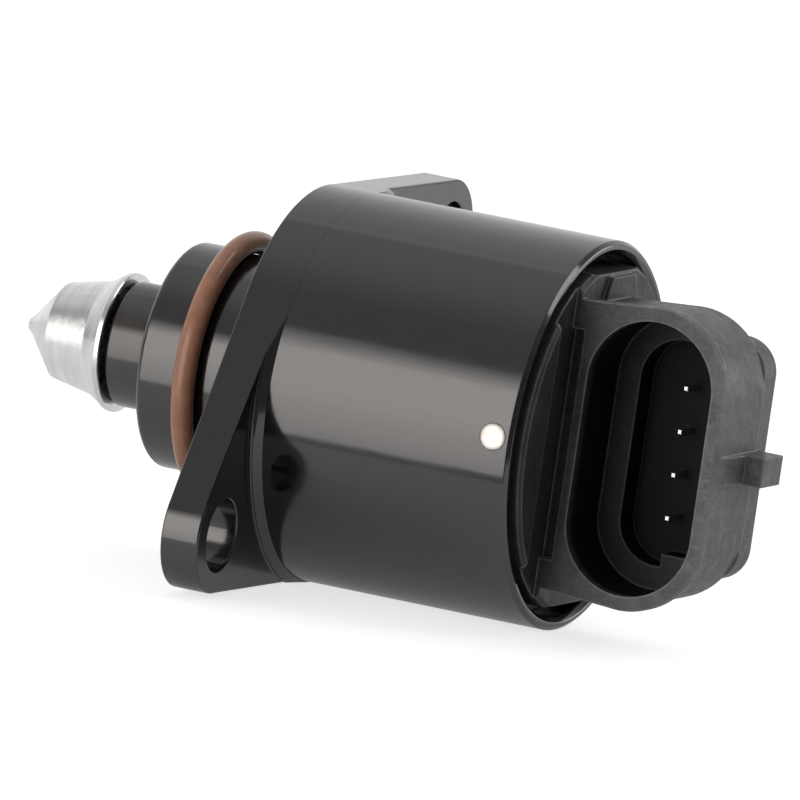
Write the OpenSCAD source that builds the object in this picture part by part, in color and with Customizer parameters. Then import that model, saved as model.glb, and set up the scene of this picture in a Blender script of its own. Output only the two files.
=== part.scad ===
// Idle air control valve: a can-stack stepper motor drives a lead screw that
// moves a conical pintle. All lengths are in millimetres.
// X is the valve axis. The mounting face is X = 0, the pintle points to -X
// and the connector is at the +X end. Z runs along the connector's long side.

/* [Body] */
// Outside diameter of the round body
body_d = 36; // [34:0.5:42]
// Rear edge of the motor can, measured from the mounting face
body_end = 28.7; // [27:0.1:36]
// Wall thickness of the motor can
can_wall = 1.2; // [0.9:0.1:1.6]
// Gap of the tight joint between the flange head and the motor can
joint_groove = 0.02; // [0.01:0.01:0.1]
// Radial fit between the can and what is pushed into it
can_fit = 0.03; // [0.01:0.01:0.08]

/* [Flange] */
// Thickness of the flange
flange_t = 3.7; // [3:0.1:6]
// Distance between the two fixing holes
hole_spacing = 50.2; // [48:0.2:58]
// Angle of the line through both fixing holes against the Y axis
lug_angle = 29.2; // [20:0.1:40]
// Radius of the rounded lug ends
lug_r = 5.4; // [4.8:0.1:7]
// Diameter of the fixing holes
hole_d = 6.6; // [5.2:0.1:7]
// How far the rounded collar at the foot of the lugs stands out from the body
collar_step = 0.7; // [0.3:0.1:1.2]
// Height of the rounded collar at the foot of the lugs
collar_h = 0.9; // [0.6:0.1:1.4]

/* [Spigot and O-ring] */
// Diameter of the spigot that enters the throttle body
spigot_d = 20.9; // [19.6:0.1:22]
// Length of the spigot in front of the mounting face
spigot_len = 11.8; // [11:0.1:14]
// Chamfer on the front edge of the spigot
spigot_chamfer = 0.4; // [0.2:0.1:0.8]
// Relief of the spigot behind the O-ring, which lets only the front land guide it
land_relief = 0.2; // [0.05:0.05:0.3]
// Thickness of the O-ring section
oring_section = 2.1; // [1.8:0.05:2.6]
// Depth of the O-ring groove
oring_groove = 0.2; // [0.05:0.05:0.4]
// Distance from the mounting face to the middle of the O-ring
oring_pos = 6.55; // [4:0.05:7]

/* [Nose and pintle] */
// Outside diameter of the nose guide
nose_d = 11.6; // [10.8:0.1:12.4]
// Front end of the nose guide, in front of the mounting face
nose_end = 17; // [16:0.1:20]
// Diameter of the collar at the back of the nose guide
nose_flange_d = 15.9; // [14.6:0.1:15.9]
// How far the lip seal reaches out past the round of the spindle
seal_room = 0.9; // [0.7:0.05:1.1]
// Height of the lip seal round the spindle
stem_seal_h = 1.8; // [1.4:0.1:2.1]
// Diameter of the pintle's rim
rim_d = 12.9; // [11:0.1:14]
// Thickness of the pintle's rim
rim_t = 0.6; // [0.4:0.1:1.5]
// Length of the flare behind the pintle's long cone
flare_len = 1.6; // [1:0.1:3]
// Diameter where the flare starts
flare_d = 10.7; // [8.5:0.1:10.8]
// Length of the long shallow cone
shallow_len = 4.1; // [3:0.1:7]
// Diameter at the front of the shallow cone
shallow_d = 9; // [7:0.1:10]
// Length of the steep front cone
steep_len = 3.4; // [2:0.1:5]
// Diameter of the rounded tip
tip_d = 2; // [1.4:0.1:3]
// Gap between the pintle's rim and the nose guide when drawn in
nose_gap = 0.3; // [0.2:0.1:0.8]

/* [Lead screw] */
// Diameter of the lead screw
screw_d = 4; // [3.4:0.1:4.4]
// Diameter of the flatted stretch of the spindle
flat_d = 6; // [5.4:0.1:6.6]
// Width across the two flats
flat_w = 4.8; // [4.4:0.1:5]
// Sliding fit around the spindle, on the radius
slide_fit = 0.05; // [0.02:0.01:0.1]
// Travel of the pintle
travel = 8; // [6:0.5:8]

/* [Rotor] */
// Outside diameter of the magnet as a share of the body's diameter
magnet_share = 0.45; // [0.42:0.005:0.46]
// Wall thickness of the magnet
magnet_wall = 2.5; // [2:0.1:2.8]
// Gap between the magnet and the pole teeth
air_gap = 0.3; // [0.25:0.05:0.5]
// Depth of the flux slots moulded between magnet and hub
hub_slot = 0.5; // [0.3:0.1:0.8]
// Number of pole teeth on each pole cup
pole_n = 8; // [6:1:8]

/* [Bearings] */
// Outside diameter of both ball bearings
bearing_d = 16; // [16:0.1:17]
// Bore of both ball bearings
bearing_bore_d = 8; // [7.6:0.1:8.2]
// Width of both ball bearings
bearing_w = 4; // [3.6:0.1:4.2]
// Diameter of the balls
ball_d = 2.2; // [1.8:0.1:2.4]
// Number of balls in each bearing
ball_n = 9; // [6:1:9]

/* [Stator] */
// Thickness of the pole cup steel
steel_t = 0.8; // [0.6:0.1:1]
// Wall of the coil formers
former_wall = 0.6; // [0.5:0.1:0.8]
// Diameter of the coil leads
lead_d = 0.5; // [0.4:0.05:0.6]
// Thickness of the link board
board_t = 0.8; // [0.6:0.1:1]
// Clearance between the stacked stator pieces
stack_gap = 0.02; // [0.01:0.01:0.05]

/* [End cap] */
// Gap between the raised dome at the rear and the can's inside
dome_gap = 0.6; // [0.3:0.1:1.5]
// Depth of the flats at the dome's top and bottom
flat_cut = 0.9; // [0.4:0.1:1.2]
// Width of the flats at the dome's top and bottom
flat_cut_w = 10; // [6:0.5:11]
// Rear face of the dome, behind the rear edge of the can
dome_out = 0.7; // [0.7:0.1:2]
// Width of the cap's sealing flange, deep inside the can
cap_flange_w = 1.65; // [1.6:0.05:1.9]
// Depth of the shallow step on the dome beside the connector
dome_step = 0.6; // [0.2:0.1:0.8]
// Width of the step, out from the lip
step_w = 4; // [2:0.1:5]
// Width of the raised trapezoid above the connector, at its top
boss_w = 5.2; // [3:0.1:6]
// Place of the raised trapezoid along Y
boss_y = 0.7; // [-2:0.1:2]
// Thickness of the cap's seal
seal_section = 1; // [0.8:0.05:1]
// Diameter of the pins that lock the cap in the can
lock_pin_d = 2.4; // [1.6:0.1:2.6]
// Number of pins that lock the cap
lock_pin_n = 2; // [2:1:4]
// Distance from the can's rear rim to the middle of the lock pins
lock_back = 1.9; // [1.4:0.1:3]
// How far the pins reach into the dome, below its flats
lock_grip = 0.9; // [0.5:0.1:1.5]

/* [Connector] */
// Height of the connector shell at its lip
shell_h = 27.8; // [26.6:0.1:30]
// Height of the connector shell where it meets the dome
shell_root_h = 26.6; // [25:0.1:28]
// Outer end of the connector shell, measured from the mounting face
shell_end = 44.2; // [43.8:0.1:52]
// Distance from the valve axis to the lip
lip_out = 7.6; // [7:0.1:11]
// Distance from the lip to the step at the back of the shell
shell_depth = 10.1; // [9:0.1:10.8]
// How much the block behind the shell is shorter at each end
back_step = 2.7; // [2:0.1:2.9]
// Face of the block behind the shell, past the valve axis
back_out = 5.2; // [5:0.1:8]
// Wall of the shell beside the socket's outer long side
wall_side = 1.1; // [0.9:0.1:1.3]
// Wall of the shell beside the dome, next to the narrow slot
wall_dome = 0.85; // [0.7:0.05:1]
// Depth of the shallow slot between the dome and the shell, below the lip
slot_depth = 0.8; // [0.4:0.1:5]
// Width of the thicker band round the shell's lip
band_w = 1.2; // [0.6:0.1:2]
// How far the band stands out at each end of the shell
band_step = 0.5; // [0.2:0.1:0.8]
// Wall of the shell at the socket's two ends
wall_end = 1.3; // [1:0.1:2]
// Width of the socket mouth
mouth_w = 12.2; // [11.6:0.1:12.8]
// Depth of the wide part of the socket
mouth_depth = 7.5; // [6:0.1:8]
// Width of the ledge inside the socket
ledge_w = 2.2; // [1.6:0.1:2.6]
// Depth of the pocket below the ledge
pocket_depth = 3.1; // [2.4:0.1:3.4]
// Height of the lock ramp
lock_h = 2.4; // [1.6:0.1:3.6]
// Width of the lock ramp
lock_w = 2.7; // [2:0.1:5]
// Length of the lock ramp's raised block
lock_len = 4.5; // [2:0.1:4.6]
// Distance from the lip to the raised block
lock_start = 6.4; // [5:0.1:6.5]
// Rise of the lead-in before the raised block
lock_lead = 0.6; // [0.2:0.1:1]

/* [Terminals] */
// Distance between neighbouring terminals
pitch = 4; // [3.6:0.1:4.2]
// Thickness of the square terminals
pin_t = 0.64; // [0.5:0.02:0.8]
// Depth of the terminal tips below the lip
tip_depth = 8; // [6.4:0.1:8.6]
// Clearance round the terminals in the moulding
pin_fit = 0.01; // [0.01:0.01:0.05]

/* [Hidden] */
fine = 96;
body_r = body_d / 2;
can_r = body_r - can_wall;
can_front = flange_t + collar_h + joint_groove;
register_end = can_front + 3;
lug_x = hole_spacing / 2;
spigot_r = spigot_d / 2;
oring_r = spigot_r - oring_groove + can_fit + oring_section / 2;
groove_w = oring_section + 0.3;

bearing_r = bearing_d / 2;
race_r = bearing_bore_d / 2;
ball_r = ball_d / 2;
ball_orbit = (bearing_r + race_r) / 2;
ball_play = 0.03;
race_step = (bearing_r - race_r) / 2 - 0.86 * ball_r;
front_bearing = flange_t - 0.3;
pocket_r = bearing_r + 0.02;

nose_r = nose_d / 2;
nose_back = 2.6;
nose_step = 3;
seal_pocket = 2.6;
flat_front = seal_pocket - nose_end + travel + 0.2;
flat_back = min(flat_front + travel, front_bearing - 0.4);

rim_back = nose_end + nose_gap;
rim_front = rim_back + rim_t;
flare_front = rim_front + flare_len;
shallow_front = flare_front + shallow_len;
tip_end = shallow_front + steep_len;
stem_r = screw_d / 2;
socket_r = stem_r * 0.8;

dome_face = body_end + dome_out;
dome_r = can_r - dome_gap;
washer_t = 0.45;
cap_inside = body_end - 0.25;
stack_end = cap_inside - board_t - bearing_w - washer_t - 0.06;
stack_front = register_end + 0.4;
stack_mid = (stack_front + stack_end) / 2;
cap_front = stack_end + board_t + stack_gap;
cap_flange = cap_front + cap_flange_w;
half_len = (stack_end - stack_front) / 2;
rear_bearing = cap_front + 0.02;
washer_front = rear_bearing + bearing_w + 0.02;
washer_back = washer_front + washer_t;

rotor_front = stack_front + 0.6;
rotor_back = stack_end - 0.6;
magnet_r = body_d * magnet_share / 2;
magnet_bore = magnet_r - magnet_wall;
tooth_in = magnet_r + air_gap;
tooth_out = tooth_in + steel_t;
former_in = tooth_out + 0.1;
cup_r = can_r - 0.06;
plate_r = cup_r - steel_t - stack_gap;
coil_r = plate_r - 1;
lead_r = (coil_r + plate_r) / 2;
lead_t = lead_d / 2;
lead_in = half_len * 0.35;
tooth_w = tooth_in * sin(180 / pole_n / 2) * 1.5;
tooth_len = half_len - 2 * steel_t - 0.6;
screw_end = cap_inside - 1.75;
dome_edge = 0.35;
boss_top = dome_r - flat_cut - 0.3;
boss_low = shell_root_h / 2 - 1.3;

shell_x = shell_end - wall_side - mouth_w / 2;
mouth_r = mouth_w / 2;
mouth_h = shell_h - 2 * wall_end;
mouth_c = mouth_h / 2 - mouth_r;
corner_r = mouth_r + wall_side - 0.2;
corner_x = shell_end - corner_r;
corner_c = shell_h / 2 - corner_r;
back_h = shell_h - 2 * back_step;
lip_y = -lip_out;
ledge_y = lip_y + mouth_depth;
floor_y = ledge_y + pocket_depth;
shell_y = lip_y + shell_depth;
pin_x = shell_x + 0.4;
pin_y = (floor_y + back_out) / 2;
pin_tip = lip_y + tip_depth;
pin_wall = (cap_inside + dome_face) / 2;
lead_y = 10.5;
seal_front = cap_front + 0.15;
lock_x = body_end - lock_back;
lock_in = dome_r - flat_cut - lock_grip;
lock_turn = -3;

// A shape turned about the valve axis. Each point is [radius, X].
module turned(p) {
    rotate([0, 90, 0])
        rotate_extrude($fn = fine)
            polygon(p);
}

// A round bar along the valve axis
module rod(r, x0, x1) {
    translate([x0, 0, 0])
        rotate([0, 90, 0])
            cylinder(r = r, h = x1 - x0, $fn = fine);
}

// A round tube along the valve axis
module tube(ro, ri, x0, x1) {
    difference() {
        rod(ro, x0, x1);
        rod(ri, x0 - 1, x1 + 1);
    }
}

// A ring of round section about the valve axis
module ring(r, s, x) {
    translate([x, 0, 0])
        rotate([0, 90, 0])
            rotate_extrude($fn = fine)
                translate([r, 0])
                    circle(r = s, $fn = 48);
}

// Stretches an XZ outline along Y
module along_y(y0, y1) {
    translate([0, y1, 0])
        rotate([90, 0, 0])
            linear_extrude(y1 - y0)
                children();
}

// Stretches a YZ outline along X
module along_x(x0, x1) {
    translate([x0, 0, 0])
        rotate([90, 0, 90])
            linear_extrude(x1 - x0)
                children();
}

// Two-lug flange outline in YZ. The straight sides start just inside the two
// circles, so that they meet them at a clear angle.
module flange_outline() {
    t = acos((body_r - lug_r) / lug_x);
    rb = body_r - 0.02;
    rl = lug_r - 0.02;
    rotate(lug_angle)
        union() {
            circle(r = body_r, $fn = fine);
            for (s = [0, 180])
                rotate(s)
                    union() {
                        translate([lug_x, 0])
                            circle(r = lug_r, $fn = 64);
                        polygon([[0, 0], [rb * cos(t), rb * sin(t)],
                            [lug_x + rl * cos(t), rl * sin(t)],
                            [lug_x + rl * cos(t), -rl * sin(t)],
                            [rb * cos(t), -rb * sin(t)]]);
                    }
        }
}

module flange_head() {
    color("#17181a")
        difference() {
            union() {
                along_x(0, flange_t)
                    flange_outline();
                intersection() {
                    turned([[0, flange_t - 0.1], [body_r + collar_step, flange_t - 0.1],
                        [body_r + collar_step, flange_t + collar_h * 0.3],
                        [body_r + 0.05, flange_t + collar_h], [0, flange_t + collar_h]]);
                    along_x(flange_t - 0.1, flange_t + collar_h)
                        flange_outline();
                }
                rod(can_r - can_fit, flange_t - 0.1, register_end);
                turned([[0, -spigot_len], [spigot_r - spigot_chamfer, -spigot_len],
                    [spigot_r, -spigot_len + spigot_chamfer], [spigot_r, -oring_pos],
                    [spigot_r - land_relief, -oring_pos], [spigot_r - land_relief, 0.1], [0, 0.1]]);
            }
            tube(spigot_r + 1, spigot_r - oring_groove, -oring_pos - groove_w / 2,
                -oring_pos + groove_w / 2);
            rod(nose_r + 0.05, -spigot_len - 1, 0);
            rod(pocket_r, -nose_back - nose_step, register_end + 1);
            for (s = [0, 180])
                along_x(-1, flange_t + 1)
                    rotate(lug_angle + s)
                        translate([lug_x, 0])
                            circle(r = hole_d / 2, $fn = 64);
        }
}

module motor_can() {
    c = 0.35;
    color("#17181a")
        difference() {
            turned([[can_r, can_front], [body_r, can_front], [body_r, body_end - c],
                [body_r - c, body_end], [can_r + 0.45, body_end], [can_r, body_end - 0.5]]);
            lock_holes();
        }
}

module lock_holes() {
    for (i = [0:lock_pin_n - 1])
        rotate([lock_turn + i * 360 / lock_pin_n, 0, 0])
            translate([lock_x, 0, 0])
                rotate([90, 0, 0])
                    translate([0, 0, lock_in])
                        cylinder(r = lock_pin_d / 2, h = body_r, $fn = 48);
}

module lock_pins() {
    color("#c9cbcc")
        intersection() {
            for (i = [0:lock_pin_n - 1])
                rotate([lock_turn + i * 360 / lock_pin_n, 0, 0])
                    translate([lock_x, 0, 0])
                        rotate([90, 0, 0])
                            translate([0, 0, lock_in])
                                cylinder(r = lock_pin_d / 2 - 0.01, h = body_r, $fn = 48);
            rod(body_r + 0.05, 0, body_end);
        }
}

module spigot_o_ring() {
    color("#a8674a")
        ring(oring_r, oring_section / 2, -oring_pos);
}

module flat_outline(extra) {
    intersection() {
        circle(r = flat_d / 2 + extra, $fn = 64);
        square([flat_d * 2, flat_w + 2 * extra], center = true);
    }
}

module nose_guide() {
    color("#3b3733")
        difference() {
            union() {
                turned([[0, -nose_end], [nose_r - 0.25, -nose_end], [nose_r, -nose_end + 0.25],
                    [nose_r, -nose_back - 1], [0, -nose_back - 1]]);
                rod(nose_flange_d / 2, -nose_back - nose_step + 0.02, -nose_back);
            }
            along_x(-nose_end - 1, 1)
                flat_outline(slide_fit);
            rod(flat_d / 2 + seal_room, -nose_end - 1, -nose_end + seal_pocket);
        }
}

module stem_seal() {
    ro = flat_d / 2 + seal_room - 0.02;
    ri = stem_r + slide_fit;
    w = ro - ri;
    h = stem_seal_h;
    x = -nose_end + seal_pocket - 0.02;
    color("#1c1c1c")
        turned([[ri, x - 0.94 * h], [ri + 0.25 * w, x - h], [ri + 0.38 * w, x - 0.6 * h],
            [ro - 0.38 * w, x - 0.6 * h], [ro - 0.27 * w, x - h], [ro, x - h], [ro, x],
            [ri + 0.33 * w, x], [ri + 0.14 * w, x - 0.4 * h]]);
}

module spacer_sleeve() {
    color("#a7a9aa")
        difference() {
            tube(pocket_r - 0.03, pocket_r - 1.1, -nose_back + 0.02, front_bearing - 0.02);
            for (a = [0:60:359])
                rotate([a, 0, 0])
                    translate([(front_bearing - nose_back) / 2, 0, 0])
                        rotate([90, 0, 0])
                            cylinder(r = 1.2, h = 20, $fn = 32);
        }
}

module pintle() {
    color("#d5d6d7")
        difference() {
            union() {
                turned([[0, -rim_back], [rim_d / 2 - 0.1, -rim_back], [rim_d / 2, -rim_back - 0.1],
                    [rim_d / 2, -rim_front + 0.1], [rim_d / 2 - 0.1, -rim_front],
                    [flare_d / 2, -flare_front], [shallow_d / 2, -shallow_front],
                    [tip_d / 2 * 0.9, -tip_end + tip_d * 0.2], [tip_d / 2 * 0.6, -tip_end],
                    [0, -tip_end]]);
                rod(stem_r + 1.1, -rim_back - 0.1, -rim_back + nose_gap - 0.1);
            }
            rod(socket_r, -shallow_front + 1, -rim_back + 1);
        }
}

module spindle() {
    color("#b9bcbe")
        union() {
            rod(stem_r, -rim_back + nose_gap - 0.1 + 0.02, screw_end);
            rod(socket_r - 0.01, -shallow_front + 1.2, screw_end - 1);
            along_x(flat_front, flat_back)
                flat_outline(0);
        }
}

module rotor_hub() {
    jr = race_r - 0.01;
    color("#d8d2bf")
        difference() {
            union() {
                rod(jr, front_bearing, rear_bearing + bearing_w);
                rod(jr + race_step * 0.8, front_bearing + bearing_w + 0.02, rotor_front);
                rod(jr + race_step * 0.8, rotor_back, rear_bearing - 0.02);
                rod(magnet_bore - 0.01, rotor_front, rotor_back);
            }
            rod(stem_r + slide_fit, 0, dome_face);
            for (a = [0:60:359])
                rotate([a, 0, 0])
                    translate([rotor_front - 1, magnet_bore - hub_slot, -0.8])
                        cube([rotor_back - rotor_front + 2, hub_slot * 2, 1.6]);
        }
}

module rotor_magnet() {
    color("#3c3c40")
        turned([[magnet_bore, rotor_front], [magnet_r - 0.4, rotor_front],
            [magnet_r, rotor_front + 0.4], [magnet_r, rotor_back - 0.4],
            [magnet_r - 0.4, rotor_back], [magnet_bore, rotor_back]]);
}

// Ball bearing pieces, x0 is the front face of the bearing
module outer_race(x0) {
    m = x0 + bearing_w / 2;
    color("#b4b7ba")
        difference() {
            tube(bearing_r, bearing_r - race_step, x0, x0 + bearing_w);
            ring(ball_orbit, ball_r + ball_play, m);
        }
}

module inner_race(x0) {
    m = x0 + bearing_w / 2;
    color("#b4b7ba")
        difference() {
            tube(race_r + race_step, race_r, x0, x0 + bearing_w);
            ring(ball_orbit, ball_r + ball_play, m);
        }
}

module balls(x0) {
    color("#d9dbdd")
        for (i = [0:ball_n - 1])
            rotate([i * 360 / ball_n, 0, 0])
                translate([x0 + bearing_w / 2, 0, ball_orbit])
                    sphere(r = ball_r, $fn = 32);
}

module cage(x0) {
    m = x0 + bearing_w / 2;
    color("#b08a4a")
        difference() {
            tube(ball_orbit + 0.45, ball_orbit - 0.45, m - ball_r - 0.35, m + ball_r + 0.35);
            for (i = [0:ball_n - 1])
                rotate([i * 360 / ball_n, 0, 0])
                    translate([m, 0, ball_orbit])
                        sphere(r = ball_r + 0.04, $fn = 32);
        }
}

module front_outer_race() {
    outer_race(front_bearing);
}

module front_inner_race() {
    inner_race(front_bearing);
}

module front_balls() {
    balls(front_bearing);
}

module front_cage() {
    cage(front_bearing);
}

module rear_outer_race() {
    outer_race(rear_bearing);
}

module rear_inner_race() {
    inner_race(rear_bearing);
}

module rear_balls() {
    balls(rear_bearing);
}

module rear_cage() {
    cage(rear_bearing);
}

module wave_washer() {
    color("#8f9499")
        tube(bearing_r - 0.1, bearing_r - 1.5, washer_front, washer_back - 0.02);
}

// Teeth of a pole piece, bent along the axis from x0 to x1
module teeth(x0, x1, turn) {
    intersection() {
        tube(tooth_out, tooth_in, x0, x1);
        for (i = [0:pole_n - 1])
            rotate([turn + i * 360 / pole_n, 0, 0])
                translate([x0 - 1, 0, -tooth_w / 2])
                    cube([x1 - x0 + 2, tooth_out + 1, tooth_w]);
    }
}

module pole_cup(x0, x1, flip, turn) {
    d0 = flip ? x1 - steel_t : x0;
    color("#9a9da0")
        difference() {
            union() {
                tube(cup_r, cup_r - steel_t, x0, x1);
                tube(cup_r, tooth_in, d0, d0 + steel_t);
                if (flip)
                    teeth(x1 - steel_t - tooth_len, x1, turn);
                else
                    teeth(x0, x0 + steel_t + tooth_len, turn);
            }
            lead_holes(x0 - 1, x1 + 1, 0.15);
        }
}

module pole_plate(x0, flip, turn) {
    color("#9a9da0")
        difference() {
            union() {
                tube(plate_r, tooth_in, x0, x0 + steel_t);
                if (flip)
                    teeth(x0, x0 + steel_t + tooth_len, turn);
                else
                    teeth(x0 - tooth_len, x0 + steel_t, turn);
            }
            lead_holes(x0 - 1, x0 + steel_t + 1, 0.15);
        }
}

// Round leads from the two coils to the link board
module lead_holes(x0, x1, extra) {
    for (a = [60, 80, 100, 120])
        rotate([a, 0, 0])
            translate([x0, lead_r, 0])
                rotate([0, 90, 0])
                    cylinder(r = lead_t + extra, h = x1 - x0, $fn = 24);
}

module front_pole_cup() {
    pole_cup(stack_front, stack_mid - stack_gap, false, 0);
}

module front_pole_plate() {
    pole_plate(stack_mid - stack_gap - steel_t, false, 180 / pole_n);
}

module rear_pole_plate() {
    pole_plate(stack_mid + stack_gap, true, 90 / pole_n);
}

module rear_pole_cup() {
    pole_cup(stack_mid + stack_gap, stack_end, true, 270 / pole_n);
}

module coil_former(x0, x1) {
    g = stack_gap;
    color("#e3ddc9")
        difference() {
            union() {
                tube(former_in + former_wall, former_in, x0 + g, x1 - g);
                tube(plate_r - 0.03, former_in, x0 + g, x0 + g + former_wall);
                tube(plate_r - 0.03, former_in, x1 - g - former_wall, x1 - g);
            }
            lead_holes(x0 - 1, x1 + 1, 0.05);
        }
}

module front_coil_former() {
    coil_former(stack_front + steel_t, stack_mid - stack_gap - steel_t);
}

module rear_coil_former() {
    coil_former(stack_mid + stack_gap + steel_t, stack_end - steel_t);
}

module coil(x0, x1) {
    g = stack_gap * 2 + former_wall;
    color("#a4552a")
        tube(coil_r, former_in + former_wall + 0.02, x0 + g, x1 - g);
}

module front_coil() {
    coil(stack_front + steel_t, stack_mid - stack_gap - steel_t);
}

module rear_coil() {
    coil(stack_mid + stack_gap + steel_t, stack_end - steel_t);
}

module coil_leads() {
    color("#b5703c")
        for (a = [60, 80, 100, 120])
            rotate([a, 0, 0])
                translate([(a < 90 ? stack_front : stack_mid) + lead_in, lead_r, 0])
                    rotate([0, 90, 0])
                        cylinder(r = lead_t,
                            h = stack_end + board_t - lead_in - (a < 90 ? stack_front : stack_mid),
                            $fn = 24);
}

module link_board() {
    color("#2f6b3f")
        difference() {
            tube(can_r - 0.1, tooth_out, stack_end + stack_gap, stack_end + board_t);
            lead_holes(stack_end - 1, stack_end + board_t + 1, 0.01);
            terminal_set(pin_fit);
        }
}

// One square terminal: socket blade, run in the cap and tail to the board
module terminal(z, extra) {
    h = pin_t / 2 + extra;
    translate([pin_x - h, pin_tip - extra, z - h])
        cube([2 * h, pin_y + h - pin_tip + extra, 2 * h]);
    translate([pin_wall - h, pin_y - h, z - h])
        cube([pin_x - pin_wall + 2 * h, 2 * h, 2 * h]);
    translate([pin_wall - h, pin_y - h, z - h])
        cube([2 * h, lead_y - pin_y + 2 * h, 2 * h]);
    translate([stack_end + stack_gap - extra, lead_y - h, z - h])
        cube([pin_wall - stack_end - stack_gap + h + extra, 2 * h, 2 * h]);
}

module terminal_set(extra) {
    for (i = [-1.5:1:1.5])
        terminal(i * pitch, extra);
}

module terminals() {
    color("#d9d7cf")
        terminal_set(0);
}

module cap_seal() {
    color("#1b1b1b")
        ring(can_r - seal_section / 2 - 0.02, seal_section / 2, seal_front + seal_section / 2 + 0.1);
}

// Outline of the connector shell in XZ, open towards the dome
module shell_outline(less) {
    hr = shell_root_h / 2 - less;
    c = corner_c - less;
    union() {
        polygon([[dome_face - 0.7, -hr], [corner_x, -c - corner_r], [shell_end, -c],
            [shell_end, c], [corner_x, c + corner_r], [dome_face - 0.7, hr]]);
        for (s = [-1, 1])
            translate([corner_x, s * c])
                circle(r = corner_r, $fn = fine);
    }
}

module back_outline() {
    r = 3.2;
    e = shell_end - 0.15;
    union() {
        translate([dome_face - 0.7, -back_h / 2])
            square([e - dome_face + 0.7 - r, back_h]);
        translate([dome_face - 0.7, r - back_h / 2])
            square([e - dome_face + 0.7, back_h - 2 * r]);
        for (s = [-1, 1])
            translate([e - r, s * (back_h / 2 - r)])
                circle(r = r, $fn = 48);
    }
}

module stadium(r, c) {
    union() {
        square([2 * r, 2 * c], center = true);
        for (s = [-1, 1])
            translate([0, s * c])
                circle(r = r, $fn = fine);
    }
}

module lock_ramp() {
    y0 = lip_y + lock_start;
    y1 = lip_y + 1.3;
    translate([0, 0, -lock_w / 2])
        linear_extrude(lock_w)
            polygon([[shell_end - 0.5, y1], [shell_end, y1], [shell_end + lock_lead, y0],
                [shell_end + lock_h, y0], [shell_end + lock_h, y0 + lock_len],
                [shell_end - 0.5, y0 + lock_len]]);
}

// Cap, dome and connector are one moulding
module end_cap() {
    color("#2b2d2f")
        difference() {
            union() {
                rod(can_r - can_fit, cap_front, cap_flange);
                difference() {
                    turned([[0, cap_front + 1], [dome_r, cap_front + 1],
                        [dome_r, dome_face - dome_edge], [dome_r - dome_edge, dome_face],
                        [0, dome_face]]);
                    for (t = [0, 180])
                        rotate([t, 0, 0])
                            translate([cap_flange, -flat_cut_w / 2, dome_r - flat_cut])
                                cube([dome_face, flat_cut_w, dome_r]);
                }
                along_y(lip_y, lip_y + band_w)
                    shell_outline(0);
                along_y(lip_y + band_w - 0.1, shell_y)
                    shell_outline(band_step);
                along_y(shell_y - 0.1, back_out)
                    back_outline();
                lock_ramp();
                along_x(dome_face - 0.1, dome_face + 0.5)
                    polygon([[boss_y - boss_w / 2 - 1.3, boss_low], [boss_y + boss_w / 2 + 1.3, boss_low],
                        [boss_y + boss_w / 2, boss_top], [boss_y - boss_w / 2, boss_top]]);
            }
            tube(can_r + 1, can_r - seal_section - 0.04, seal_front,
                seal_front + seal_section + 0.2);
            rod(pocket_r, cap_front - 1, washer_back);
            lock_holes();
            translate([dome_face - dome_step, lip_y - step_w, -body_r])
                cube([dome_step + 1, step_w, body_d]);
            translate([dome_face - dome_step, lip_y - 1, 2 - mouth_c - mouth_r])
                cube([shell_x - mouth_r - wall_dome - dome_face + dome_step, slot_depth + 1,
                    2 * (mouth_c + mouth_r - 2)]);
            translate([shell_x, 0, 0]) {
                along_y(lip_y - 1, ledge_y)
                    stadium(mouth_r, mouth_c);
                difference() {
                    along_y(ledge_y - 0.1, floor_y)
                        stadium(mouth_r - ledge_w, mouth_c);
                    translate([0.6, ledge_y - 0.2, -mouth_c - mouth_r])
                        cube([mouth_r, pocket_depth + 1, mouth_r - ledge_w - 0.5]);
                }
            }
            terminal_set(pin_fit);
        }
}

flange_head();
motor_can();
spigot_o_ring();
nose_guide();
stem_seal();
spacer_sleeve();
pintle();
spindle();
rotor_hub();
rotor_magnet();
front_outer_race();
front_inner_race();
front_balls();
front_cage();
rear_outer_race();
rear_inner_race();
rear_balls();
rear_cage();
wave_washer();
front_pole_cup();
front_pole_plate();
rear_pole_plate();
rear_pole_cup();
front_coil_former();
rear_coil_former();
front_coil();
rear_coil();
link_board();
coil_leads();
end_cap();
cap_seal();
terminals();
lock_pins();
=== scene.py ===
import math

import bmesh
import bpy
from mathutils import Matrix, Vector

# Lengths and places are written in millimetres, and MM turns them into metres
MM = 0.001

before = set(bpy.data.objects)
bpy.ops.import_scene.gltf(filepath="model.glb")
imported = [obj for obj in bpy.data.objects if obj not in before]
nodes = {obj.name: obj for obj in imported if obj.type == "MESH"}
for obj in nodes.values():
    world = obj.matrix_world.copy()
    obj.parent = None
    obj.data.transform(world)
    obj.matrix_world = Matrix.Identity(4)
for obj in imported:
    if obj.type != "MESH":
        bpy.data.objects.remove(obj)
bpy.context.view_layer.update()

# A point on the valve's axis, which the camera and the lamps are placed by
AIM = Vector((15, 0, 0))

# The photograph's camera, fitted to the solids: azimuth, elevation and roll in degrees,
# its distance from the point above, pixels per millimetre there, and that point's pixel
CAM_AZ, CAM_EL, CAM_ROLL = 22.062, 7.886, 8.304
CAM_DIST = 2530.35
CAM_SCALE = 11.005
CAM_CX, CAM_CY = 449.365, 408.316
# Nothing nearer or farther than these shows
CAM_NEAR, CAM_FAR = 50, 20000
# The picture's width in pixels, and the sensor's in millimetres
IMAGE = 800
SENSOR = 36.0

# The connector's socket: its middle in X, half width, half straight in Z, and its lip and ledge in Y
SOCKET_X, SOCKET_R, SOCKET_C, SOCKET_LIP, SOCKET_LEDGE = 37.0, 6.1, 6.5, -7.6, -0.1
# How far the socket's painted shade reaches past its wall, starts below its lip, and grows with depth
SOCKET_EDGE, LIP_DEPTH, LIP_FADE = 0.25, 0.4, 0.8
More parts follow.
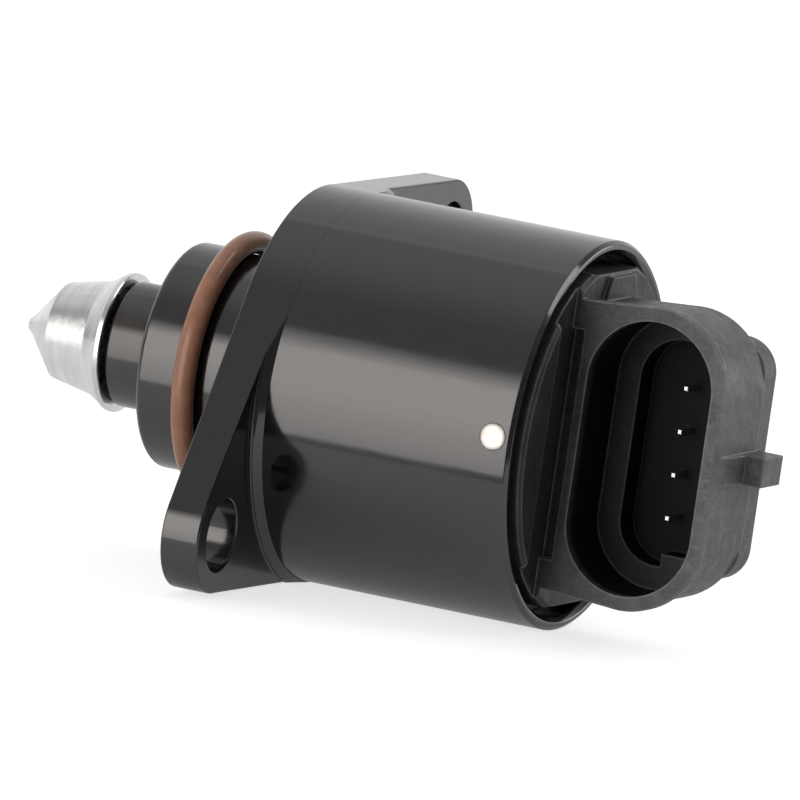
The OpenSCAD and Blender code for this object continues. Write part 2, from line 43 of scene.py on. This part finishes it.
# Half height of the band at the ledge, and how much of the painted shade it loses
LEDGE_BAND, LEDGE_LIGHT = 0.4, 0.32
# The painted shade's colour, how much of the nylon it hides, and how much of its pale edges
SOCKET_PAINTED_SHADE, SHADE_HIDES_NYLON, SHADE_HIDES_EDGES = (0.0012, 0.0015, 0.0012), 0.97, 0.75
# Painted shade on the moulding by the can: where it is darkest, in X, how fast it gets lighter from there,
# and its colour's share there
CAP_BACK, CAP_FADE, CAP_PAINTED_SHADE = 28.5, 0.08, (0.3, 0.3, 0.3)

# How strongly the angle between two faces shows as a pale edge, partly wear and partly painted highlight
EDGE_GAIN = 6.0

# An edge is rounded where it bends more than the first angle, and shaded sharp past the second, in degrees
ROUND_ANGLE, SHARP_ANGLE = 32, 24
# Points nearer than the gap are joined, and faces that bend less than the angle are merged, in degrees
WELD_GAP, FLAT_ANGLE = 0.002, 0.2

# Brightness of the room by the angle round the valve's axis: 0 is level on the camera's side, 90 is overhead
ROOM = ((-180, 0.42), (-60, 0.38), (35, 0.34), (58, 0.36), (80, 0.55), (96, 0.6), (110, 0.55),
        (112, 0.9), (114, 0.66), (140, 0.7), (180, 0.75))

# The far wall: its tone, and the stretches of a direction's Y and Z over which it sets in and ends
WALL_TONE, WALL_Y, WALL_Z = 0.9, (0.1, 0.7), (0.2, 0.65)
# The room's share of brightness past the connector's end, and the stretch of X over which it falls to that
REAR_SHARE, REAR_X = 0.38, (0.12, 0.4)
# How much bluer than grey the room is
ROOM_BLUE = 1.01

# The big softbox in strips, which fades towards both its edges: lower edge, upper edge and radiance
KEY = ((-255, -205, 1.5), (-205, -150, 1.65), (-150, -90, 1.8), (-90, -30, 1.95), (-30, 40, 2.15),
       (40, 275, 2.3), (275, 315, 1.6), (315, 355, 1.0), (355, 395, 0.5))
KEY_X, KEY_Y, KEY_WIDTH, KEY_COLOUR = -225, -560, 560, (1, 0.95, 0.91)
WHITE = (1, 1, 1)
# The smaller lamps: name, place, size and radiance
FILL = (("top", (430, 190, 500), (360, 360), 2.2), ("side", (420, 560, 120), (300, 360), 2.2))

# The floor's height and its edges in X and Y. Its front edge sets where the round body's bright band ends.
FLOOR_Z, FLOOR_X, FLOOR_Y = -18.05, (-400, 500), (-45, 900)
FLOOR_TONE = 0.62
# How much the floor glows for the camera and in reflections, so that it shows white round the shadow
FLOOR_SEEN, FLOOR_MIRRORED = 0.72, 0.3


class Graph:
    """The nodes of one tree. An input is given as a number, a colour or another node's output."""

    def __init__(self, tree):
        self.tree = tree
        tree.nodes.clear()

    def node(self, kind, **props):
        n = self.tree.nodes.new(kind)
        for key, value in props.items():
            setattr(n, key, value)
        return n

    def link(self, a, b):
        self.tree.links.new(a, b)

    def put(self, value, socket):
        if isinstance(value, (int, float)):
            socket.default_value = value
        elif isinstance(value, tuple):
            socket.default_value = (*value, 1.0)
        else:
            self.link(value, socket)

    def ramp(self, fac, stops):
        """A colour ramp with stops of (place, brightness or colour)."""
        n = self.node("ShaderNodeValToRGB")
        e = n.color_ramp.elements
        while len(e) < len(stops):
            e.new(0.5)
        for item, (pos, value) in zip(e, stops):
            item.position = pos
            value = value if isinstance(value, tuple) else (value,) * 3
            item.color = (*value, 1.0)
        self.link(fac, n.inputs["Fac"])
        return n.outputs["Color"]

    def mix(self, fac, a, b, mode="MIX"):
        """Two colours in one. The numbers are the places of the node's sockets for colours."""
        n = self.node("ShaderNodeMix", data_type="RGBA", blend_type=mode)
        for value, index in ((fac, 0), (a, 6), (b, 7)):
            self.put(value, n.inputs[index])
        return n.outputs[2]

    def math(self, op, a, b=0.0, clamp=False):
        n = self.node("ShaderNodeMath", operation=op, use_clamp=clamp)
        self.put(a, n.inputs[0])
        self.put(b, n.inputs[1])
        return n.outputs[0]

    def span(self, value, start, end, low=0.0, high=1.0):
        """Low where the value is at start or before, high at end or after, and even between them."""
        n = self.node("ShaderNodeMapRange")
        for key, limit in (("From Min", start), ("From Max", end), ("To Min", low), ("To Max", high)):
            n.inputs[key].default_value = limit
        self.link(value, n.inputs["Value"])
        return n.outputs[0]

    def straight_ray(self, path):
        """1 for what the camera sees directly or through glass, else 0."""
        return self.math("MAXIMUM", path.outputs["Is Camera Ray"], path.outputs["Is Transmission Ray"])


class Look(Graph):
    """A material round one Principled shader. Texture scales are per millimetre."""

    def __init__(self, name, rough=0.5, metallic=0.0, ior=1.5, specular=0.5):
        self.mat = bpy.data.materials.new(name)
        self.mat.use_nodes = True
        super().__init__(self.mat.node_tree)
        self.bsdf = self.node("ShaderNodeBsdfPrincipled")
        self.out = self.node("ShaderNodeOutputMaterial")
        self.link(self.bsdf.outputs[0], self.out.inputs[0])
        self.bsdf.inputs["Roughness"].default_value = rough
        self.bsdf.inputs["Metallic"].default_value = metallic
        self.bsdf.inputs["IOR"].default_value = ior
        self.bsdf.inputs["Specular IOR Level"].default_value = specular
        self.normal = None

    def set(self, socket, value):
        self.link(value, self.bsdf.inputs[socket])

    def place(self, scale):
        coord = self.node("ShaderNodeTexCoord")
        mapping = self.node("ShaderNodeMapping")
        mapping.inputs["Scale"].default_value = [v / MM for v in scale]
        self.link(coord.outputs["Object"], mapping.inputs["Vector"])
        return mapping.outputs[0]

    def along(self, axis):
        """The place along one axis in millimetres."""
        coord = self.node("ShaderNodeTexCoord")
        split = self.node("ShaderNodeSeparateXYZ")
        self.link(coord.outputs["Object"], split.inputs[0])
        return self.math("MULTIPLY", split.outputs[axis], 1 / MM)

    def noise(self, scale, detail=3.0, rough=0.55, distort=0.0):
        scale = scale if isinstance(scale, tuple) else (scale,) * 3
        n = self.node("ShaderNodeTexNoise")
        n.inputs["Scale"].default_value = 1.0
        n.inputs["Detail"].default_value = detail
        n.inputs["Roughness"].default_value = rough
        n.inputs["Distortion"].default_value = distort
        self.link(self.place(scale), n.inputs["Vector"])
        return n.outputs["Fac"]

    def bend_normal(self, n):
        """Passes the shading normal through one more node."""
        if self.normal:
            self.link(self.normal, n.inputs["Normal"])
        self.normal = n.outputs[0]
        self.set("Normal", self.normal)

    def bevel(self, radius, samples=4):
        """Sharp edges shaded as if rounded."""
        n = self.node("ShaderNodeBevel", samples=samples)
        n.inputs["Radius"].default_value = radius * MM
        self.bend_normal(n)

    def bump(self, height, strength, depth):
        n = self.node("ShaderNodeBump")
        n.inputs["Strength"].default_value = strength
        n.inputs["Distance"].default_value = depth * MM
        self.link(height, n.inputs["Height"])
        self.bend_normal(n)

    def edge(self, radius):
        """1 on sharp edges, 0 on open faces."""
        b = self.node("ShaderNodeBevel", samples=6)
        b.inputs["Radius"].default_value = radius * MM
        geo = self.node("ShaderNodeNewGeometry")
        dot = self.node("ShaderNodeVectorMath", operation="DOT_PRODUCT")
        self.link(b.outputs[0], dot.inputs[0])
        self.link(geo.outputs["Normal"], dot.inputs[1])
        return self.math("MULTIPLY", self.math("SUBTRACT", 1.0, dot.outputs["Value"]), EDGE_GAIN, clamp=True)


def anodised(name, turned):
    """Gloss black anodised aluminium with fine tool lines, a few paler scuffs and handling marks."""
    k = Look(name, ior=1.9)
    tone = k.noise((0.5, 1.2, 1.2), 4)
    base = k.ramp(tone, [(0.3, (0.003, 0.003, 0.0032)), (0.7, (0.006, 0.0058, 0.0058))])
    scuff = k.ramp(k.noise((0.8, 2.2, 2.2), 6, 0.7), [(0.60, 0.0), (0.78, 0.35)])
    k.set("Base Color", k.mix(scuff, base, (0.03, 0.029, 0.028)))
    smear = k.noise((0.25, 1.0, 1.0), 5, 0.6)
    k.set("Roughness", k.ramp(smear, [(0.3, 0.085), (0.75, 0.16)]))
    k.bump(k.noise((0.1, 0.28, 0.28), 2), 0.5, 0.03)
    k.bump(k.noise(turned, 3, 0.6), 0.12, 0.004)
    return k.mat


def socket_shade_mask(k):
    """How much painted shade the socket gets: 1 deep in the connector's socket, 0 outside the shell, and
    less on the ledge half way down.
    """
    x, y, z = (k.along(axis) for axis in "XYZ")
    past = k.math("MAXIMUM", k.math("SUBTRACT", k.math("ABSOLUTE", z), SOCKET_C), 0.0)
    off = k.math("SUBTRACT", x, SOCKET_X)
    away = k.math("SQRT", k.math("ADD", k.math("MULTIPLY", past, past), k.math("MULTIPLY", off, off)))
    inside = k.math("LESS_THAN", away, SOCKET_R + SOCKET_EDGE)
    deep = k.math("MULTIPLY", k.math("SUBTRACT", y, SOCKET_LIP + LIP_DEPTH), LIP_FADE, clamp=True)
    ledge = k.math("LESS_THAN", k.math("ABSOLUTE", k.math("SUBTRACT", y, SOCKET_LEDGE)), LEDGE_BAND)
    deep = k.math("SUBTRACT", deep, k.math("MULTIPLY", ledge, LEDGE_LIGHT))
    return k.math("MULTIPLY", inside, deep)


def nylon(name):
    """Dark grey glass-filled nylon, mottled by its fibres, with pale edges that are partly wear and partly
    painted highlight, painted shade towards the moulding's back by the can, and a rougher socket darkened by
    painted shade.
    """
    k = Look(name, specular=0.25)
    dark, middle, pale = (0.082, 0.083, 0.086), (0.12, 0.121, 0.125), (0.17, 0.171, 0.176)
    base = k.ramp(k.noise(0.35, 6, 0.62, 1.2), [(0.3, dark), (0.5, middle), (0.72, pale)])
    fibre = k.ramp(k.noise((1.2, 3.2, 4.0), 4, 0.7, 0.8), [(0.52, 0.0), (0.75, 0.4)])
    base = k.mix(fibre, base, (0.34, 0.342, 0.348))
    # Painted shade: the moulding is darker towards its back, next to the can
    outer = k.math("MULTIPLY", k.math("SUBTRACT", k.along("X"), CAP_BACK), CAP_FADE, clamp=True)
    base = k.mix(outer, k.mix(1.0, base, CAP_PAINTED_SHADE, "MULTIPLY"), base)
    # Painted shade in the socket: its walls and floor are darkened nearly to black, less on the ledge
    inner = socket_shade_mask(k)
    base = k.mix(k.math("MULTIPLY", inner, SHADE_HIDES_NYLON), base, SOCKET_PAINTED_SHADE)
    # Pale edges, partly wear and partly painted highlight, mostly left out in the socket's painted shade
    wear_and_highlight = k.ramp(k.noise(1.6, 5, 0.7), [(0.3, 0.25), (0.65, 0.75)])
    bare = k.math("SUBTRACT", 1.0, k.math("MULTIPLY", inner, SHADE_HIDES_EDGES))
    edge = k.math("MULTIPLY", k.edge(0.32), k.math("MULTIPLY", wear_and_highlight, bare))
    k.set("Base Color", k.mix(edge, base, (0.45, 0.45, 0.455)))
    rough = k.ramp(k.noise(0.9, 5, 0.65), [(0.3, 0.33), (0.7, 0.55)])
    k.set("Roughness", k.mix(inner, rough, (0.62, 0.62, 0.62)))
    k.bevel(0.28, 8)
    k.bump(k.noise(1.1, 5, 0.65, 0.6), 0.3, 0.04)
    k.bump(k.noise(6.0, 3, 0.6), 0.2, 0.012)
    return k.mat


def metal(name, low, high, rough=(0.2, 0.35), lines=(6.0, 0.6, 0.6), bevel=0.06, bump=0.1, metallic=1.0):
    """Metal between two colours. Its fine lines run round X where the first of their scales is largest."""
    k = Look(name, metallic=metallic)
    patches = (lines[0] * 0.3, lines[1] * 0.5, lines[2] * 0.5)
    k.set("Base Color", k.ramp(k.noise(patches, 4), [(0.3, low), (0.7, high)]))
    k.set("Roughness", k.ramp(k.noise(0.9, 4), [(0.3, rough[0]), (0.7, rough[1])]))
    k.bevel(bevel)
    k.bump(k.noise(lines, 3, 0.6), bump, 0.006)
    return k.mat


def plastic(name, low, high, rough=(0.35, 0.5), ior=1.5):
    """Moulded plastic with a fine grain."""
    k = Look(name, ior=ior)
    k.set("Base Color", k.ramp(k.noise(0.6, 5), [(0.3, low), (0.7, high)]))
    k.set("Roughness", k.ramp(k.noise(1.3, 4), [(0.3, rough[0]), (0.7, rough[1])]))
    k.bevel(0.08)
    k.bump(k.noise(4.0, 3), 0.15, 0.008)
    return k.mat


def rubber(name, low, high, rough=(0.34, 0.46)):
    """Rubber with an uneven skin."""
    k = Look(name)
    k.set("Base Color", k.ramp(k.noise(0.8, 5, 0.6), [(0.3, low), (0.7, high)]))
    k.set("Roughness", k.ramp(k.noise(1.5, 4), [(0.3, rough[0]), (0.7, rough[1])]))
    k.bump(k.noise(5.0, 4, 0.6), 0.18, 0.008)
    return k.mat


def winding(name):
    """Enamelled copper wire, with its turns as close lines round the coil."""
    return metal(name, (0.30, 0.085, 0.03), (0.42, 0.14, 0.05), (0.25, 0.35), (4.2, 0.1, 0.1), bump=0.7)


def outer_looks():
    """The materials of the pieces that show."""
    return {
        "flange_head": anodised("anodised_flange", (5.0, 0.5, 0.5)),
        "motor_can": anodised("anodised_can", (7.0, 0.15, 0.15)),
        "end_cap": nylon("nylon"),
        "pintle": metal("nickel", (0.74, 0.76, 0.76), (0.93, 0.935, 0.935), (0.12, 0.3), (5.0, 0.4, 0.4)),
        "spigot_o_ring": rubber("terracotta_rubber", (0.31, 0.145, 0.088), (0.40, 0.195, 0.12),
                                (0.17, 0.25)),
        "nose_guide": plastic("guide_plastic", (0.03, 0.026, 0.023), (0.045, 0.04, 0.035),
                              (0.1, 0.18), ior=1.75),
        "terminals": metal("tin", (0.72, 0.71, 0.69), (0.86, 0.85, 0.83), (0.18, 0.3), bevel=0.05),
        "lock_pins": metal("pin_steel", (0.42, 0.39, 0.35), (0.74, 0.71, 0.66), (0.2, 0.4), (1.2, 1.2, 1.2),
                           bevel=0.5, bump=0.5),
    }


def inner_looks():
    """The materials of the pieces inside. Pieces of one kind share theirs."""
    steel = metal("ground_steel", (0.42, 0.42, 0.43), (0.58, 0.58, 0.59), (0.15, 0.28))
    ball = metal("ball_chrome", (0.68, 0.68, 0.69), (0.78, 0.78, 0.79), (0.06, 0.12))
    brass = metal("cage_brass", (0.5, 0.34, 0.12), (0.62, 0.43, 0.17), (0.25, 0.38))
    pole = metal("pole_steel", (0.34, 0.34, 0.35), (0.46, 0.46, 0.47), (0.3, 0.45), (1.5, 1.5, 1.5))
    former = plastic("former_plastic", (0.62, 0.57, 0.46), (0.74, 0.7, 0.58))
    seal = rubber("seal_rubber", (0.012, 0.012, 0.012), (0.022, 0.022, 0.022))
    looks = {
        "stem_seal": seal,
        "cap_seal": seal,
        "spacer_sleeve": metal("spacer_aluminium", (0.45, 0.45, 0.46), (0.6, 0.6, 0.61), (0.3, 0.4)),
        "spindle": steel,
        "wave_washer": pole,
        "rotor_hub": plastic("hub_plastic", (0.5, 0.45, 0.33), (0.62, 0.57, 0.44)),
        "rotor_magnet": metal("ferrite", (0.03, 0.03, 0.033), (0.06, 0.06, 0.065), (0.5, 0.65),
                              (2.0, 2.0, 2.0), metallic=0.3),
        "link_board": plastic("board", (0.015, 0.09, 0.035), (0.03, 0.16, 0.06), (0.25, 0.4)),
    }
    for end in ("front", "rear"):
        looks[end + "_outer_race"] = looks[end + "_inner_race"] = steel
        looks[end + "_balls"] = ball
        looks[end + "_cage"] = brass
        looks[end + "_pole_cup"] = looks[end + "_pole_plate"] = pole
        looks[end + "_coil_former"] = former
        looks[end + "_coil"] = winding(end + "_winding")
    looks["coil_leads"] = looks["front_coil"]
    return looks


def store_on_edges(g, mesh, name, kind, value):
    """Stores a value on the mesh's edges under a name, and gives the mesh."""
    n = g.node("GeometryNodeStoreNamedAttribute", data_type=kind, domain="EDGE")
    n.inputs["Name"].default_value = name
    g.link(mesh, n.inputs["Geometry"])
    g.link(value, next(i for i in n.inputs if i.name == "Value" and i.enabled))
    return n.outputs[0]


def pick_edges(obj, low, high, axis):
    """A modifier that marks the sharp edges between two planes across an axis, for the bevel after it."""
    tree = bpy.data.node_groups.new(obj.name + "_edges", "GeometryNodeTree")
    for way in ("INPUT", "OUTPUT"):
        tree.interface.new_socket("Geometry", in_out=way, socket_type="NodeSocketGeometry")
    g = Graph(tree)
    start, end = g.node("NodeGroupInput"), g.node("NodeGroupOutput")
    bend = g.node("GeometryNodeInputMeshEdgeAngle").outputs[0]
    split = g.node("ShaderNodeSeparateXYZ")
    g.link(g.node("GeometryNodeInputPosition").outputs[0], split.inputs[0])
    picked = g.math("GREATER_THAN", bend, math.radians(ROUND_ANGLE))
    for op, limit in (("GREATER_THAN", low), ("LESS_THAN", high)):
        picked = g.math("MULTIPLY", picked, g.math(op, split.outputs[axis], limit * MM))
    plain = g.node("GeometryNodeRemoveAttribute")
    plain.inputs["Name"].default_value = "custom_normal"
    g.link(start.outputs[0], plain.inputs["Geometry"])
    sharp = g.math("GREATER_THAN", bend, math.radians(SHARP_ANGLE))
    mesh = store_on_edges(g, plain.outputs[0], "sharp_edge", "BOOLEAN", sharp)
    mesh = store_on_edges(g, mesh, "bevel_weight_edge", "FLOAT", picked)
    g.link(mesh, end.inputs[0])
    obj.modifiers.new("edges", "NODES").node_group = tree


def soften(name, width, segments=2, low=-100, high=100, axis="X"):
    """Rounded edges on a CAD node: faces are joined, coplanar ones merged, then sharp edges bevelled."""
    obj = nodes[name]
    w = obj.modifiers.new("join", "WELD")
    w.merge_threshold = WELD_GAP * MM
    d = obj.modifiers.new("merge", "DECIMATE")
    d.decimate_type = "DISSOLVE"
    d.angle_limit = math.radians(FLAT_ANGLE)
    pick_edges(obj, low, high, axis)
    b = obj.modifiers.new("round", "BEVEL")
    b.width = width * MM
    b.segments = segments
    b.limit_method = "WEIGHT"
    b.use_clamp_overlap = False
    b.harden_normals = True


def make_camera():
    """The photograph's camera, with its roll and its place off the middle built into where it stands."""
    a, e, o = (math.radians(v) for v in (CAM_AZ, CAM_EL, CAM_ROLL))
    back = Vector((math.sin(a) * math.cos(e), -math.cos(a) * math.cos(e), math.sin(e)))
    right = Vector((math.cos(a), math.sin(a), 0))
    up = back.cross(right)
    r2 = right * math.cos(o) + up * math.sin(o)
    u2 = -right * math.sin(o) + up * math.cos(o)
    half = IMAGE / 2
    shift = u2 * ((CAM_CY - half) / CAM_SCALE) - r2 * ((CAM_CX - half) / CAM_SCALE)
    place = AIM + back * CAM_DIST + shift
    cam = bpy.data.objects.new("camera", bpy.data.cameras.new("camera"))
    bpy.context.scene.collection.objects.link(cam)
    cam.matrix_world = Matrix((
        (r2.x, u2.x, back.x, place.x * MM),
        (r2.y, u2.y, back.y, place.y * MM),
        (r2.z, u2.z, back.z, place.z * MM),
        (0, 0, 0, 1)))
    cam.data.sensor_width = SENSOR
    cam.data.lens = CAM_SCALE * CAM_DIST * SENSOR / IMAGE
    cam.data.clip_start, cam.data.clip_end = CAM_NEAR * MM, CAM_FAR * MM
    cam.data.dof.use_dof = False
    bpy.context.scene.camera = cam


def make_room():
    """A white world for the camera, and for all else a soft grey room, darker past the connector's end."""
    world = bpy.data.worlds.new("studio")
    bpy.context.scene.world = world
    world.use_nodes = True
    g = Graph(world.node_tree)
    split = g.node("ShaderNodeSeparateXYZ")
    g.link(g.node("ShaderNodeTexCoord").outputs["Generated"], split.inputs[0])
    x, y, z = (split.outputs[axis] for axis in "XYZ")
    wall = g.math("MULTIPLY", g.span(y, *WALL_Y), g.span(z, *WALL_Z, 1.0, 0.0))
    turn = g.span(g.math("ARCTAN2", z, g.math("MULTIPLY", y, -1.0)), -math.pi, math.pi)
    sky = g.ramp(turn, [((angle + 180) / 360, (value, value, value * ROOM_BLUE)) for angle, value in ROOM])
    seen = g.mix(wall, sky, (WALL_TONE, WALL_TONE, WALL_TONE))
    dim = g.node("ShaderNodeVectorMath", operation="SCALE")
    g.link(seen, dim.inputs[0])
    g.link(g.span(x, *REAR_X, 1.0, REAR_SHARE), dim.inputs["Scale"])
    camera, room = g.node("ShaderNodeBackground"), g.node("ShaderNodeBackground")
    camera.inputs["Color"].default_value = (*WHITE, 1)
    g.link(dim.outputs[0], room.inputs["Color"])
    pick = g.node("ShaderNodeMixShader")
    g.link(g.straight_ray(g.node("ShaderNodeLightPath")), pick.inputs[0])
    g.link(room.outputs[0], pick.inputs[1])
    g.link(camera.outputs[0], pick.inputs[2])
    g.link(pick.outputs[0], g.node("ShaderNodeOutputWorld").inputs[0])


def softbox(name, place, target, size, radiance, color=WHITE):
    """A rectangular lamp of the given radiance."""
    lamp = bpy.data.lights.new(name, "AREA")
    lamp.shape = "RECTANGLE"
    lamp.size, lamp.size_y = size[0] * MM, size[1] * MM
    lamp.energy = radiance * math.pi * lamp.size * lamp.size_y
    lamp.color = color
    obj = bpy.data.objects.new(name, lamp)
    bpy.context.scene.collection.objects.link(obj)
    place, target = Vector(place) * MM, Vector(target) * MM
    obj.location = place
    obj.rotation_mode = "QUATERNION"
    obj.rotation_quaternion = (target - place).to_track_quat("-Z", "Y")
    obj.visible_camera = False


def make_lamps():
    """The big softbox in strips to the camera's left, and two smaller lamps behind the valve."""
    for low, high, radiance in KEY:
        middle = (low + high) / 2
        size = (KEY_WIDTH, high - low)
        softbox("key", (KEY_X, KEY_Y, middle), (AIM.x, 0, middle), size, radiance, KEY_COLOUR)
    for name, place, size, radiance in FILL:
        softbox(name, place, AIM, size, radiance)


def make_floor():
    """A pale floor that shows white to the camera around the valve's shadow."""
    bm = bmesh.new()
    (x0, x1), (y0, y1) = FLOOR_X, FLOOR_Y
    corners = ((x0, y0), (x1, y0), (x1, y1), (x0, y1))
    bm.faces.new([bm.verts.new((x * MM, y * MM, FLOOR_Z * MM)) for x, y in corners])
    mesh = bpy.data.meshes.new("floor")
    bm.to_mesh(mesh)
    bm.free()
    obj = bpy.data.objects.new("floor", mesh)
    bpy.context.scene.collection.objects.link(obj)
    k = Look("floor", rough=0.9)
    k.bsdf.inputs["Base Color"].default_value = (FLOOR_TONE, FLOOR_TONE, FLOOR_TONE, 1)
    path = k.node("ShaderNodeLightPath")
    seen = k.math("MULTIPLY", k.straight_ray(path), FLOOR_SEEN)
    seen = k.math("ADD", seen, k.math("MULTIPLY", path.outputs["Is Glossy Ray"], FLOOR_MIRRORED))
    glow = k.node("ShaderNodeEmission")
    glow.inputs["Color"].default_value = (*WHITE, 1)
    k.link(seen, glow.inputs["Strength"])
    add = k.node("ShaderNodeAddShader")
    k.link(k.bsdf.outputs[0], add.inputs[0])
    k.link(glow.outputs[0], add.inputs[1])
    k.link(add.outputs[0], k.out.inputs[0])
    mesh.materials.append(k.mat)


make_camera()

looks = {**outer_looks(), **inner_looks()}
for name, obj in nodes.items():
    obj.data.materials.clear()
    obj.data.materials.append(looks[name])

# The edges of the flange and spigot, of the can behind its joint, of the terminals' tips and of the guide:
# width, segments and the planes that they lie between
soften("flange_head", 0.2, 3, high=4.4)
soften("motor_can", 0.08, low=6)
soften("terminals", 0.2, 3, high=0.45, axis="Y")
soften("nose_guide", 0.1)

make_room()
make_lamps()
make_floor()

bpy.context.scene.view_settings.view_transform = "Standard"
